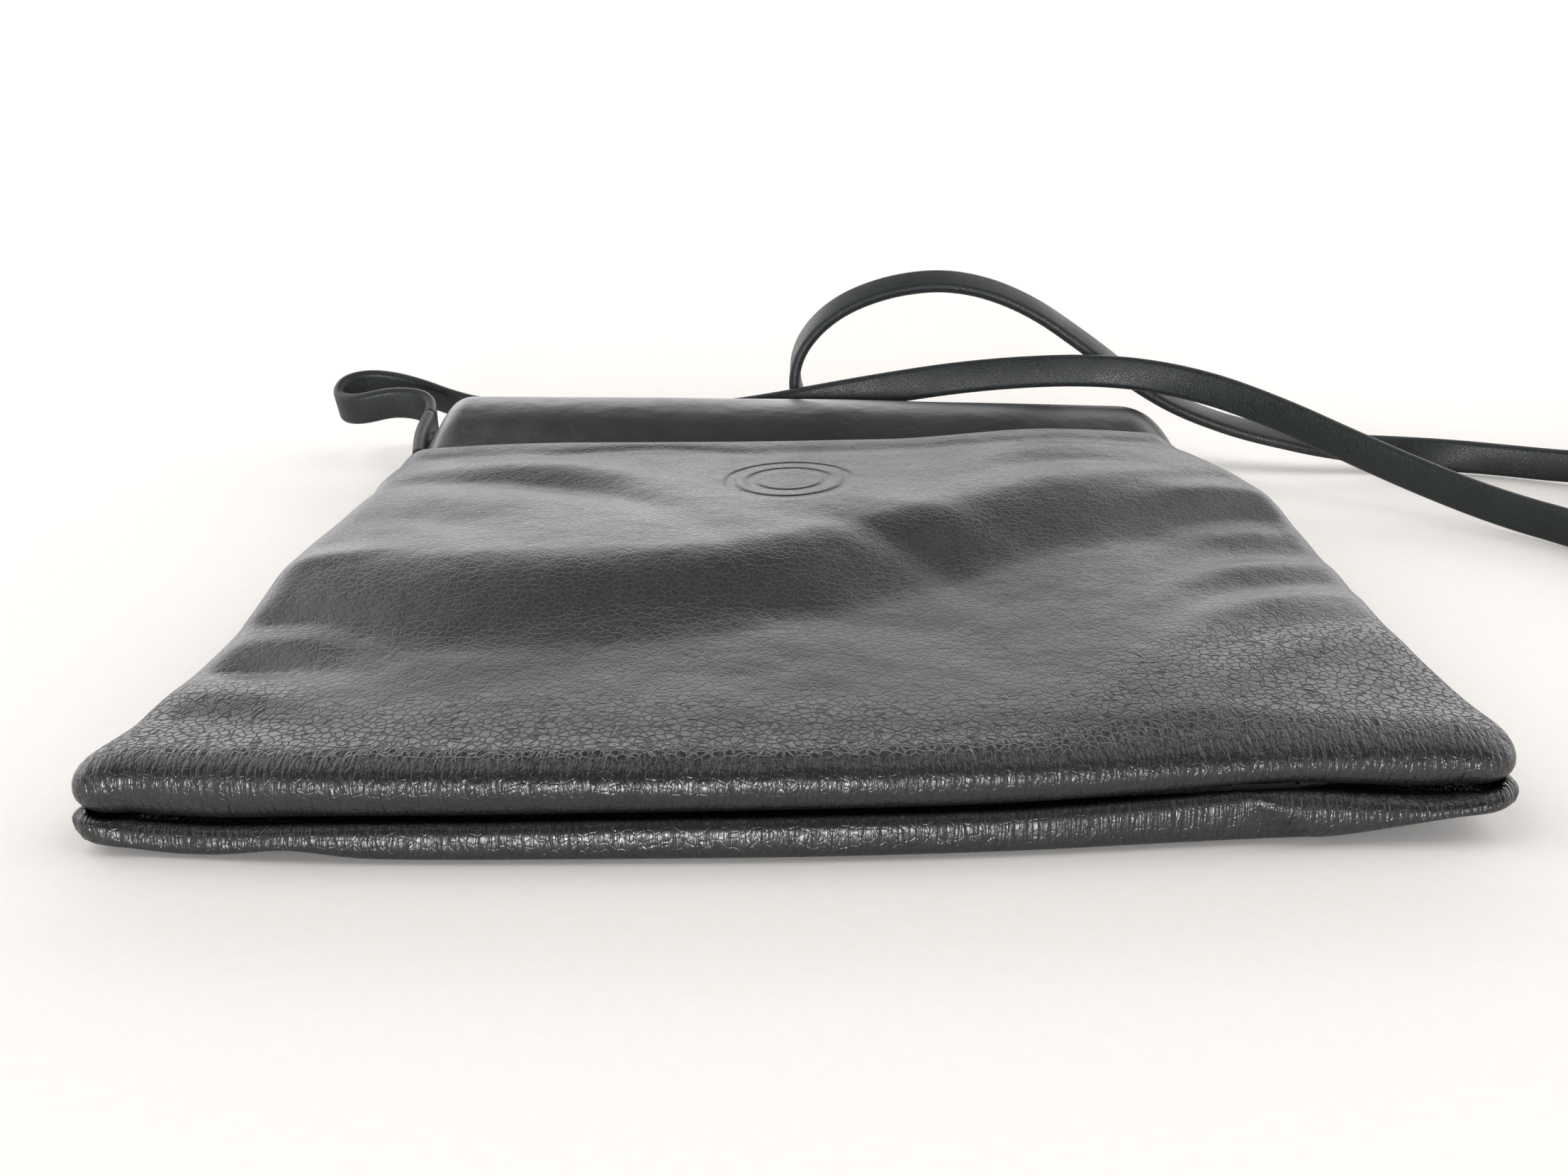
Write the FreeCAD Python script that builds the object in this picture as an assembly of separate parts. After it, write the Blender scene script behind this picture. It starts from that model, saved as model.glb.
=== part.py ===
import FreeCAD, Part
import math
import os

# Neck pouch wallet in soft leather with a spring-frame mouth and a long flat neck strap.
# Millimetres. The pouch lies on its back panel: +X is its width, +Y runs from the bottom seam
# to the mouth and +Z is up. The origin is the middle of the pouch's footprint, on the table.

# Pouch body
HALF_WIDTH = 70.0
HALF_WIDTH_AT_MOUTH = 67.8
HALF_HEIGHT = 61.0
SEAM_Z = 4.5
CORNER_RADIUS = 6.0
TOP_Z_AT_ROLL = 10.2
TOP_Z_AT_CREST = 12.9
TOP_Z_AT_RIDGE = 12.3
RIDGE_Y = 34.0
BODY_TOP_Y = 38.7
PILLOW_END_Y = 42.0
PILLOW_END_Z = 9.0
UNDER_INSET = 4.4
UNDER_BULGE = (1.2, 1.3)
NEAR_ROLL_INSET = 5.5
NEAR_ROLL_BULGE = (1.1, 8.2)
CREST_Y = -8.0
SHOULDER_INSET = 6.0
SHOULDER_Z = 10.6
SIDE_BULGE = (1.4, 8.4)
CROWN_Z = 13.0

# Layers, from the outside in, as distances from the outer skin
LEATHER = (0.0, 1.2)
WADDING = (1.25, 2.75)
LINING = (2.8, 3.2)

# Opening part of the front
LIP_START_Y = 13.3
LIP_GAP = 0.3

# Leather casings that hold the spring frame
CASING_LENGTH = 21.9
CASING_THICKNESS = 3.8
CASING_LEAF = 1.2
CASING_CLOSED_END = 2.2
CASING_HALF_WIDTH = 66.5
CASING_CORNER = 5.0
CASING_NOTCH_X = 61.5
FRONT_CASING_START = (39.2, 6.9)
FRONT_CASING_TILT = 7.0
BACK_CASING_START = (39.7, 0.5)
BACK_CASING_TILT = 13.5

# Spring frame: two flat strips hinged together at both ends
FRAME_CENTRE = (50.0, 7.5)
FRAME_TILT = 10.25
STRIP_OFFSET = 2.6
STRIP_THICKNESS = 0.5
STRIP_HEIGHT = 11.0
STRIP_HALF_LENGTH = 61.6
PIN_X = 64.3
PIN_RADIUS = 0.9
PIN_LENGTH = 11.6
PIN_PLAY = 0.05
KNUCKLE_RADIUS = 1.5
KNUCKLE_SPLIT = 1.9
KNUCKLE_PLAY = 0.1

# Thread
THREAD_RADIUS = 0.25
STITCH_PITCH = 3.5
STITCH_LENGTH = 3.0
SEAM_STITCH_LENGTH = 2.4
SEAM_STITCH_MARGIN = 2.0
SEAM_STITCH_FIRST_RISE = 1.0
CASING_STITCH_MARGIN = 7.0
BACK_CASING_STITCH_PLACE = (39.1, 1.0)
FRONT_CASING_STITCH_PLACE = (39.3, 9.85)
STRAP_END_STITCH_PLACES = ((53.0, 6.6), (56.0, 7.3), (59.0, 8.0))
STRAP_END_STITCH_OUTSET = 0.4

# Neck strap: 6 mm wide and 2.2 mm thick, standing on edge along most of its length
STRAP_WIDTH = 6.0
STRAP_THICKNESS = 2.2
STRAP_TUBE_RADIUS = math.sqrt(STRAP_WIDTH * STRAP_THICKNESS / math.pi)
STRAP_END_START = (43.0, 6.4)
STRAP_END_LENGTH = 17.5
STRAP_END_TILT = 9.5

# Share of a route's shorter run that each of its arcs takes up
ARC_REACH = 0.45

# Strap route from the left end of the mouth, over the back of the pouch, to the coil
LEFT_ROUTE = [
    (-67.6, 60.3, 9.3),
    (-67.9, 64.2, 10.0),
    (-70.6, 67.2, 11.4),
    (-76.6, 67.6, 11.8),
    (-82.8, 66.8, 10.4),
    (-87.6, 69.8, 10.2),
    (-87.6, 75.0, 12.4),
    (-82.8, 77.8, 13.0),
    (-75.0, 77.6, 11.8),
    (-65.0, 75.4, 8.6),
    (-49.0, 72.2, 6.4),
    (-29.0, 70.2, 7.2),
    (-9.8, 69.0, 9.0),
    (13.1, 68.2, 13.6),
    (36.0, 69.4, 16.8),
    (59.0, 69.6, 17.7),
    (75.2, 64.4, 16.2),
    (88.0, 56.2, 12.8),
    (98.4, 47.0, 9.0),
    (108.6, 38.2, 5.6),
    (116.8, 29.4, 3.7),
    (124.0, 20.6, 3.3),
    (131.0, 7.0, 3.3),
]

# Strap route from the right end of the mouth, behind the pouch, up into an arch and to the coil
RIGHT_ROUTE = [
    (67.6, 60.3, 9.3),
    (67.4, 66.6, 8.6),
    (61.0, 70.6, 6.6),
    (49.0, 71.8, 4.6),
    (33.0, 72.6, 3.9),
    (17.0, 73.2, 3.9),
    (6.0, 73.8, 5.4),
    (0.2, 74.8, 11.0),
    (0.6, 76.2, 20.0),
    (7.6, 78.2, 27.6),
    (19.2, 80.2, 31.8),
    (32.0, 81.2, 32.6),
    (45.2, 80.0, 28.6),
    (57.9, 76.4, 20.4),
    (69.0, 71.0, 12.6),
    (80.5, 66.4, 8.2),
    (93.5, 63.4, 5.6),
    (105.4, 62.2, 4.2),
    (118.0, 61.4, 3.5),
    (130.5, 58.4, 3.3),
    (142.0, 53.0, 3.4),
    (154.0, 46.6, 5.0),
    (167.0, 41.6, 8.2),
    (179.0, 36.4, 8.2),
    (187.6, 28.6, 5.6),
]

# Coil of the strap length that is put away
COIL_CENTRE = (168.0, 6.0)
COIL_INNER_RADIUS = 28.3
COIL_OUTER_RADIUS = 37.3
COIL_BOTTOM = 0.6
COIL_TURNS = 2.55
TIE_ANGLE = -20.0
TIE_WIDTH = 8.0
TIE_THICKNESS = 0.5
TIE_PLAY = 0.3

X_AXIS = FreeCAD.Vector(1, 0, 0)
Y_AXIS = FreeCAD.Vector(0, 1, 0)
Z_AXIS = FreeCAD.Vector(0, 0, 1)
ORIGIN = FreeCAD.Vector(0, 0, 0)


def point(x, y, z):
    return FreeCAD.Vector(x, y, z)


def straight(start, end):
    return Part.LineSegment(start, end).toShape()


def curved(start, middle, end):
    return Part.Arc(start, middle, end).toShape()


def block(low, high):
    """A box between two opposite corners."""
    size = [high[axis] - low[axis] for axis in range(3)]
    return Part.makeBox(*size, point(*low))


def inset_slab(wire, inset, sweep):
    """The closed outline, drawn in by inset and swept along a vector."""
    outline = wire.makeOffset2D(-inset) if inset else wire
    return Part.Face(outline).extrude(sweep)


def side_outline():
    """The pouch seen from its side: rolled bottom edge, crowned front, flat back."""
    x = -HALF_WIDTH
    nose = point(x, -HALF_HEIGHT, SEAM_Z)
    under = point(x, -HALF_HEIGHT + UNDER_INSET, 0)
    roll = point(x, -HALF_HEIGHT + NEAR_ROLL_INSET, TOP_Z_AT_ROLL)
    roll_bulge = point(x, -HALF_HEIGHT + NEAR_ROLL_BULGE[0], NEAR_ROLL_BULGE[1])
    under_bulge = point(x, -HALF_HEIGHT + UNDER_BULGE[0], UNDER_BULGE[1])
    ridge = point(x, RIDGE_Y, TOP_Z_AT_RIDGE)
    end_top = point(x, PILLOW_END_Y, PILLOW_END_Z)
    end_bottom = point(x, PILLOW_END_Y, 0)
    return Part.Wire([
        curved(nose, roll_bulge, roll),
        curved(roll, point(x, CREST_Y, TOP_Z_AT_CREST), ridge),
        straight(ridge, end_top),
        straight(end_top, end_bottom),
        straight(end_bottom, under),
        curved(under, under_bulge, nose),
    ])


def end_outline():
    """The pouch seen from its bottom seam: both sides rolled into the side seams."""
    y = -HALF_HEIGHT
    right_seam = point(HALF_WIDTH, y, SEAM_Z)
    left_seam = point(-HALF_WIDTH, y, SEAM_Z)
    right_shoulder = point(HALF_WIDTH - SHOULDER_INSET, y, SHOULDER_Z)
    left_shoulder = point(-HALF_WIDTH + SHOULDER_INSET, y, SHOULDER_Z)
    right_under = point(HALF_WIDTH - UNDER_INSET, y, 0)
    left_under = point(-HALF_WIDTH + UNDER_INSET, y, 0)
    side_x, side_z = HALF_WIDTH - SIDE_BULGE[0], SIDE_BULGE[1]
    under_x, under_z = HALF_WIDTH - UNDER_BULGE[0], UNDER_BULGE[1]
    return Part.Wire([
        curved(right_seam, point(side_x, y, side_z), right_shoulder),
        curved(right_shoulder, point(0, y, CROWN_Z), left_shoulder),
        curved(left_shoulder, point(-side_x, y, side_z), left_seam),
        curved(left_seam, point(-under_x, y, under_z), left_under),
        straight(left_under, right_under),
        curved(right_under, point(under_x, y, under_z), right_seam),
    ])


def plan_outline():
    """The pouch seen from above: bottom corners rounded, slightly narrower towards the mouth."""
    bottom = -HALF_HEIGHT
    slack = CORNER_RADIUS * (1 - math.sqrt(0.5))
    corner_y = bottom + CORNER_RADIUS
    corner_x = HALF_WIDTH - CORNER_RADIUS
    left_bend = point(-HALF_WIDTH + slack, bottom + slack, 0)
    right_bend = point(HALF_WIDTH - slack, bottom + slack, 0)
    return Part.Wire([
        straight(point(-corner_x, bottom, 0), point(corner_x, bottom, 0)),
        curved(point(corner_x, bottom, 0), right_bend, point(HALF_WIDTH, corner_y, 0)),
        straight(point(HALF_WIDTH, corner_y, 0), point(HALF_WIDTH_AT_MOUTH, PILLOW_END_Y, 0)),
        straight(point(HALF_WIDTH_AT_MOUTH, PILLOW_END_Y, 0),
                 point(-HALF_WIDTH_AT_MOUTH, PILLOW_END_Y, 0)),
        straight(point(-HALF_WIDTH_AT_MOUTH, PILLOW_END_Y, 0), point(-HALF_WIDTH, corner_y, 0)),
        curved(point(-HALF_WIDTH, corner_y, 0), left_bend, point(-corner_x, bottom, 0)),
    ])


def pillow(inset):
    """The stuffed pouch shape, drawn in by inset on every side."""
    from_side = inset_slab(side_outline(), inset, X_AXIS * (2 * HALF_WIDTH))
    from_end = inset_slab(end_outline(), inset, Y_AXIS * (2 * HALF_HEIGHT))
    from_above = inset_slab(plan_outline(), inset, Z_AXIS * (2 * TOP_Z_AT_CREST))
    return from_side.common(from_end).common(from_above)


def layer(depths):
    """One closed skin of the pouch between two distances from the outside."""
    return pillow(depths[0]).cut(pillow(depths[1]))


def lower_front(skin):
    """The sewn-down part of a front layer, from the bottom seam to the opening lip."""
    reach = 2 * HALF_WIDTH
    return skin.common(block((-reach, -reach, SEAM_Z), (reach, LIP_START_Y - LIP_GAP, reach)))


def lip_front(skin):
    """The part of a front layer that lifts with the mouth."""
    reach = 2 * HALF_WIDTH
    return skin.common(block((-reach, LIP_START_Y, SEAM_Z + LIP_GAP), (reach, BODY_TOP_Y, reach)))


def back(skin):
    """A back layer, below the seam."""
    reach = 2 * HALF_WIDTH
    return skin.common(block((-reach, -reach, -reach), (reach, BODY_TOP_Y, SEAM_Z)))


def tilted(shape, tilt, place):
    """The shape turned about X by tilt degrees and then moved to (y, z)."""
    turned = shape.copy()
    turned.rotate(ORIGIN, X_AXIS, tilt)
    turned.translate(point(0, place[0], place[1]))
    return turned


def casing(start, tilt, half_width, outer_side_up):
    """A folded leather channel, closed at its sewn edge and rounded at the mouth."""
    half = CASING_THICKNESS / 2
    round_start = CASING_LENGTH - half
    x = -half_width
    section = Part.Wire([
        straight(point(x, 0, 0), point(x, round_start, 0)),
        curved(point(x, round_start, 0), point(x, CASING_LENGTH, half),
               point(x, round_start, CASING_THICKNESS)),
        straight(point(x, round_start, CASING_THICKNESS), point(x, 0, CASING_THICKNESS)),
        straight(point(x, 0, CASING_THICKNESS), point(x, 0, 0)),
    ])
    body = Part.Face(section).extrude(X_AXIS * (2 * half_width))
    slot = block((-half_width, CASING_CLOSED_END, CASING_LEAF),
                 (half_width, CASING_LENGTH - CASING_CLOSED_END, CASING_THICKNESS - CASING_LEAF))
    body = body.cut(slot)
    notch_low = 0 if outer_side_up else CASING_LEAF
    notch_high = CASING_THICKNESS - CASING_LEAF if outer_side_up else CASING_THICKNESS
    for side in (-1, 1):
        edges = sorted((side * CASING_NOTCH_X, side * half_width))
        body = body.cut(block((edges[0], CASING_CLOSED_END, notch_low),
                              (edges[1], CASING_LENGTH, notch_high)))
    body = body.common(rounded_mouth_corners(half_width))
    return tilted(body, tilt, start)


def rounded_mouth_corners(half_width):
    """A slab with the casing's plan outline, whose two corners at the mouth are rounded."""
    slab = block((-half_width, 0, 0), (half_width, CASING_LENGTH, CASING_THICKNESS))
    corners = [edge for edge in slab.Edges if is_mouth_corner(edge)]
    return slab.makeFillet(CASING_CORNER, corners)


def is_mouth_corner(edge):
    first = edge.Vertexes[0].Point
    last = edge.Vertexes[-1].Point
    upright = abs(first.z - last.z) > CASING_THICKNESS / 2
    at_mouth = min(first.y, last.y) > CASING_LENGTH / 2
    return upright and at_mouth


def round_bar(radius, length, centre, direction):
    """A cylinder along a direction, centred on a point."""
    start = centre - direction * (length / 2)
    return Part.makeCylinder(radius, length, start, direction)


def spring_strip(level, knuckle_spans):
    """A flat spring strip with its ends bent in and rolled into knuckles around the pins."""
    half_height = STRIP_HEIGHT / 2
    half_thick = STRIP_THICKNESS / 2
    strip = block((-STRIP_HALF_LENGTH, -half_height, level - half_thick),
                  (STRIP_HALF_LENGTH, half_height, level + half_thick))
    run_in = PIN_X - STRIP_HALF_LENGTH
    slope = math.degrees(math.atan2(level, run_in))
    for side in (-1, 1):
        for span in knuckle_spans:
            width = span[1] - span[0]
            roll = Part.makeCylinder(KNUCKLE_RADIUS, width, point(side * PIN_X, span[0], 0), Y_AXIS)
            bend = block((-math.hypot(level, run_in), span[0], -half_thick),
                         (0, span[1], half_thick))
            bend.rotate(ORIGIN, Y_AXIS, slope)
            if side < 0:
                bend = bend.mirror(ORIGIN, X_AXIS)
            bend.translate(point(side * PIN_X, 0, 0))
            strip = strip.fuse(roll).fuse(bend)
        bore = round_bar(PIN_RADIUS + PIN_PLAY, 2 * STRIP_HEIGHT, point(side * PIN_X, 0, 0), Y_AXIS)
        strip = strip.cut(bore)
    return tilted(strip.removeSplitter(), FRAME_TILT, FRAME_CENTRE)


def front_spring_strip():
    middle = KNUCKLE_SPLIT - KNUCKLE_PLAY
    return spring_strip(STRIP_OFFSET, [(-middle, middle)])


def back_spring_strip():
    half_height = STRIP_HEIGHT / 2
    outer = KNUCKLE_SPLIT + KNUCKLE_PLAY
    return spring_strip(-STRIP_OFFSET, [(-half_height, -outer), (outer, half_height)])


def frame_pin(side):
    pin = round_bar(PIN_RADIUS, PIN_LENGTH, point(side * PIN_X, 0, 0), Y_AXIS)
    return tilted(pin, FRAME_TILT, FRAME_CENTRE)


def evenly(start, end, pitch):
    """Places from start to end, as close to the pitch as whole gaps allow."""
    gaps = max(1, round((end - start) / pitch))
    return [start + (end - start) * index / gaps for index in range(gaps + 1)]


def seam_stitching():
    """Thread of the turned seam: one upright stitch after another along the bottom and sides."""
    wall_middle = (LEATHER[0] + LEATHER[1]) / 2
    lean = (HALF_WIDTH - HALF_WIDTH_AT_MOUTH) / (PILLOW_END_Y + HALF_HEIGHT - CORNER_RADIUS)
    low_y = -HALF_HEIGHT + CORNER_RADIUS + SEAM_STITCH_FIRST_RISE
    last_x = HALF_WIDTH - CORNER_RADIUS - SEAM_STITCH_MARGIN
    places = []
    for x in evenly(-last_x, last_x, STITCH_PITCH):
        places.append((x, -HALF_HEIGHT + wall_middle))
    for y in evenly(low_y, LIP_START_Y - SEAM_STITCH_MARGIN, STITCH_PITCH):
        x = HALF_WIDTH - wall_middle - lean * (y - low_y)
        places.append((x, y))
        places.append((-x, y))
    stitches = [round_bar(THREAD_RADIUS, SEAM_STITCH_LENGTH, point(x, y, SEAM_Z), Z_AXIS)
                for x, y in places]
    return Part.makeCompound(stitches)


def casing_stitching(place):
    """Thread that holds a casing to the top edge of its panel."""
    last_x = HALF_WIDTH_AT_MOUTH - CASING_STITCH_MARGIN
    return Part.makeCompound([round_bar(THREAD_RADIUS, STITCH_LENGTH, point(x, *place), Y_AXIS)
                              for x in evenly(-last_x, last_x, STITCH_PITCH)])


def strap_end(side):
    """The sewn-in end of the strap, on edge along the end of the casings."""
    inner = side * CASING_HALF_WIDTH
    outer = side * (CASING_HALF_WIDTH + STRAP_THICKNESS)
    low_x, high_x = sorted((inner, outer))
    half = STRAP_WIDTH / 2
    tab = block((low_x, 0, -half), (high_x, STRAP_END_LENGTH, half))
    return tilted(tab, STRAP_END_TILT, STRAP_END_START)


def strap_end_stitching():
    """Box stitches through both strap ends into the back casing."""
    stitches = []
    for side in (-1, 1):
        x = side * (CASING_HALF_WIDTH + STRAP_END_STITCH_OUTSET)
        for y, z in STRAP_END_STITCH_PLACES:
            stitches.append(round_bar(THREAD_RADIUS, STITCH_LENGTH, point(x, y, z), X_AXIS))
    return Part.makeCompound(stitches)


def cord_path(route):
    """Straight runs joined by tangent arcs, and the arcs' radii and the path's length."""
    points = [point(*place) for place in route]
    edges = []
    radii = []
    start = points[0]
    for before, corner, after in zip(points, points[1:], points[2:]):
        run_in = (corner - before).normalize()
        run_out = (after - corner).normalize()
        half_turn = run_in.getAngle(run_out) / 2
        reach = ARC_REACH * min((corner - before).Length, (after - corner).Length)
        radius = reach / math.tan(half_turn)
        arc_start = corner - run_in * reach
        arc_end = corner + run_out * reach
        inward = (run_out - run_in).normalize()
        middle = corner + inward * (radius / math.cos(half_turn) - radius)
        edges.append(straight(start, arc_start))
        edges.append(curved(arc_start, middle, arc_end))
        radii.append(radius)
        start = arc_end
    edges.append(straight(start, points[-1]))
    return Part.Wire(edges), radii


def strap_run(name, route):
    """A plain tube along the strap's route, with the strap's own cross-section area."""
    path, radii = cord_path(route)
    first = point(*route[0])
    heading = (point(*route[1]) - first).normalize()
    ring = Part.Wire(Part.makeCircle(STRAP_TUBE_RADIUS, first, heading))
    tube = path.makePipeShell([ring], True, False)
    expected = math.pi * STRAP_TUBE_RADIUS ** 2 * path.Length
    print(name, "length", round(path.Length, 1), "volume ratio", round(tube.Volume / expected, 4))
    print(name, "radii", [round(radius, 1) for radius in radii])
    runs = [round((point(*b) - point(*a)).Length, 1) for a, b in zip(route, route[1:])]
    print(name, "runs", runs)
    return tube


def strap_coil():
    """The put-away turns of the strap, side by side on edge, as one flat ring."""
    centre = point(COIL_CENTRE[0], COIL_CENTRE[1], COIL_BOTTOM)
    disc = Part.makeCylinder(COIL_OUTER_RADIUS, STRAP_WIDTH, centre)
    hole = Part.makeCylinder(COIL_INNER_RADIUS, STRAP_WIDTH, centre)
    mean_radius = (COIL_INNER_RADIUS + COIL_OUTER_RADIUS) / 2
    print("strap_coil length", round(2 * math.pi * mean_radius * COIL_TURNS, 1))
    return disc.cut(hole)


def strap_tie():
    """A thin band round the coil's turns."""
    half = TIE_WIDTH / 2
    inner_low = (COIL_INNER_RADIUS - TIE_PLAY, -half, TIE_THICKNESS)
    inner_high = (COIL_OUTER_RADIUS + TIE_PLAY, half, COIL_BOTTOM + STRAP_WIDTH + TIE_THICKNESS / 2)
    outer_low = (inner_low[0] - TIE_THICKNESS, -half, 0)
    outer_high = (inner_high[0] + TIE_THICKNESS, half, inner_high[2] + TIE_THICKNESS)
    band = block(outer_low, outer_high).cut(block(inner_low, inner_high))
    band.rotate(ORIGIN, Z_AXIS, TIE_ANGLE)
    band.translate(point(COIL_CENTRE[0], COIL_CENTRE[1], 0))
    return band


def build():
    leather = layer(LEATHER)
    wadding = layer(WADDING)
    lining = layer(LINING)
    front_half_width = CASING_HALF_WIDTH - LIP_GAP
    return {
        "back_panel": back(leather),
        "front_panel": lower_front(leather),
        "front_panel_top": lip_front(leather),
        "back_wadding": back(wadding),
        "front_wadding": lower_front(wadding),
        "front_wadding_top": lip_front(wadding),
        "back_lining": back(lining),
        "front_lining": lower_front(lining),
        "front_lining_top": lip_front(lining),
        "back_casing": casing(BACK_CASING_START, BACK_CASING_TILT, CASING_HALF_WIDTH, False),
        "front_casing": casing(FRONT_CASING_START, FRONT_CASING_TILT, front_half_width, True),
        "back_spring_strip": back_spring_strip(),
        "front_spring_strip": front_spring_strip(),
        "left_frame_pin": frame_pin(-1),
        "right_frame_pin": frame_pin(1),
        "seam_stitching": seam_stitching(),
        "back_casing_stitching": casing_stitching(BACK_CASING_STITCH_PLACE),
        "front_casing_stitching": casing_stitching(FRONT_CASING_STITCH_PLACE),
        "left_strap_end": strap_end(-1),
        "right_strap_end": strap_end(1),
        "strap_end_stitching": strap_end_stitching(),
        "strap_left_run": strap_run("strap_left_run", LEFT_ROUTE),
        "strap_right_run": strap_run("strap_right_run", RIGHT_ROUTE),
        "strap_coil": strap_coil(),
        "strap_tie": strap_tie(),
    }


os.makedirs("parts", exist_ok=True)
for node, shape in build().items():
    box = shape.BoundBox
    print(node, len(shape.Solids), "solids", shape.isValid(), round(shape.Volume, 1),
          [round(v, 2) for v in (box.XMin, box.YMin, box.ZMin, box.XMax, box.YMax, box.ZMax)])
    shape.exportStep("parts/" + node + ".step")
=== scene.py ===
import math

import bpy
import numpy as np
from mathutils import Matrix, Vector


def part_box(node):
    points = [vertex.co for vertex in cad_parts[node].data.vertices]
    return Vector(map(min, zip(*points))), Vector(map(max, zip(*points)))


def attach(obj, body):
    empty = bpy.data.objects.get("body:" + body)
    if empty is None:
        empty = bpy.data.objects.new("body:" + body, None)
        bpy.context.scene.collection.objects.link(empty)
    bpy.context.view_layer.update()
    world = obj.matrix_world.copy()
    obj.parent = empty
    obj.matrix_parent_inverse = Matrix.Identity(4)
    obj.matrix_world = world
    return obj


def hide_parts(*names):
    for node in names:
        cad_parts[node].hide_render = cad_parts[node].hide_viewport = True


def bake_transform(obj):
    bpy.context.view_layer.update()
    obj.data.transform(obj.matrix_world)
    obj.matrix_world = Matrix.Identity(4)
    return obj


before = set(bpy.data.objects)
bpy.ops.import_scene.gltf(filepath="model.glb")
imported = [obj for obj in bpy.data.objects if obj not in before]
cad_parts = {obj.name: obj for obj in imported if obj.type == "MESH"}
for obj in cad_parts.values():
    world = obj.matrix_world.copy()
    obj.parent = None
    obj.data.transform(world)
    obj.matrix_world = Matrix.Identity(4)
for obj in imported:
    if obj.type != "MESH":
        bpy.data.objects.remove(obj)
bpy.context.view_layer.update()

MM = 0.001

# ---------------------------------------------------------------- sizes, in millimetres

# Camera: low over the table, looking down at the bottom seam
CAMERA_PLACE = (-1.8, -160.9, 71.5)
CAMERA_DROP = 23.3
CAMERA_LENS = 28.08
CAMERA_SENSOR = 36.0

# Brightness of the room low down behind the table, and above it
ROOM_BEHIND = 3.1
ROOM_ABOVE = 0.13

# Leather pouch, taken from the frame where it states them
TOP_LOW, TOP_HIGH = (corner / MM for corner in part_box("front_panel_top"))
SEAM_PAST_PANEL = 1.7
TOP_SEAM_Y = TOP_HIGH.y + SEAM_PAST_PANEL
LEATHER_THICKNESS = 1.2
WADDING_DEPTH = (1.25, 2.0)
LINING_DEPTH = (2.1, 2.4)
FRONT_ROLL = 3.5
BACK_ROLL = 3.1
FRONT_BOX, BACK_BOX = 0.9, 0.62
SIDE_ROLL = 4.2
ROLL_START = math.radians(-62)
ROLL_RINGS = 12
CORNER_RINGS = 6
CORNER_RADIUS = 6.4
EAR = 0.10
SEAM_EAR = 0.30
PLEAT_AT, PLEAT_SLANT, PLEAT_STEP, PLEAT_SOFTNESS = 48.5, 9.0, 0.9, 1.6
SEAM_GAP = 0.05
BACK_LEAN = 0.9
BACK_EDGE_STEP = -0.3
HALF_WIDTH = 72

# Outline of the pouch as it lies: the bulge of the near roll and of both sides
NEAR_EDGE = [(-74, -60.4), (-50, -61.8), (-20, -61.9), (0, -61.6), (25, -60.5), (45, -59.0), (60, -58.1),
             (74, -57.6)]
LEFT_EDGE = [(-62, -72.2), (-57, -71.4), (-52, -70.6), (-46, -70.3), (-40, -69.8), (-32, -68.4), (-20, -67.2),
             (-8, -67.0), (3, -66.4), (10, -66.2), (17, -65.9), (25, -66.3), (32, -66.0), (41, -65.8)]
RIGHT_EDGE = [(-60, 71.0), (-52, 71.6), (-46, 71.4), (-36, 71.2), (-22, 71.6), (-8, 72.4), (3, 72.6),
              (10, 71.8), (17, 70.0), (25, 67.4), (33, 64.4), (41, 62.8)]

# Height of the seam along the bottom, and the lines that the front panel rises along
SEAM_HEIGHT = [(-72, 4.2), (-65, 3.4), (-57, 3.2), (-49, 3.7), (-30, 4.1), (0, 4.5), (20, 4.6), (37, 5.2),
               (48, 5.7), (55, 5.2), (63, 4.8), (72, 6.0)]
RISE_LINE = [(-72, -25), (-30, -26), (-8, -22), (15, -10), (35, 0), (72, 7)]
RISE_WIDTH = 22
LOW_LEVEL = 10.1
RISE = 4.0
FALL_BEHIND_RISE = 0.036
SIDE_SEAM_HEIGHT, SIDE_SEAM_START, SIDE_SEAM_REACH = 5.2, -58, 30

# Swell of the front towards the right, its fall to both sides, and the slow waves of the settled leather
SWELL, SWELL_START, SWELL_REACH = 1.5, (14, -59.5), (30, 8)
SIDE_FALL, SIDE_FALL_START, SIDE_FALL_REACH = 1.7, (34, -64), (34, 20)
WAVE_HEIGHT, WAVE_REACH, WAVE_PHASE = 0.22, (17, 13), (0.6, 0.3)
FOLDS_START, FOLDS_REACH = -58, 8

# Underside: how high each near corner curls, where the curl starts (from the middle) and over what reach
REST_GAP = 0.05
LEFT_CURL = (0.7, (60, 44), (10, 16))
RIGHT_CURL = (2.9, (50, 34), (20, 22))
TUCK, TUCK_X, TUCK_WIDTH, TUCK_START, TUCK_REACH = 0.9, -50, 5, 50, 8
RIDGE = [(29, 0.0), (32, -0.1), (35.5, 0.35), (38.2, 0.3), (39.8, -0.6), (41, -2.0)]

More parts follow.
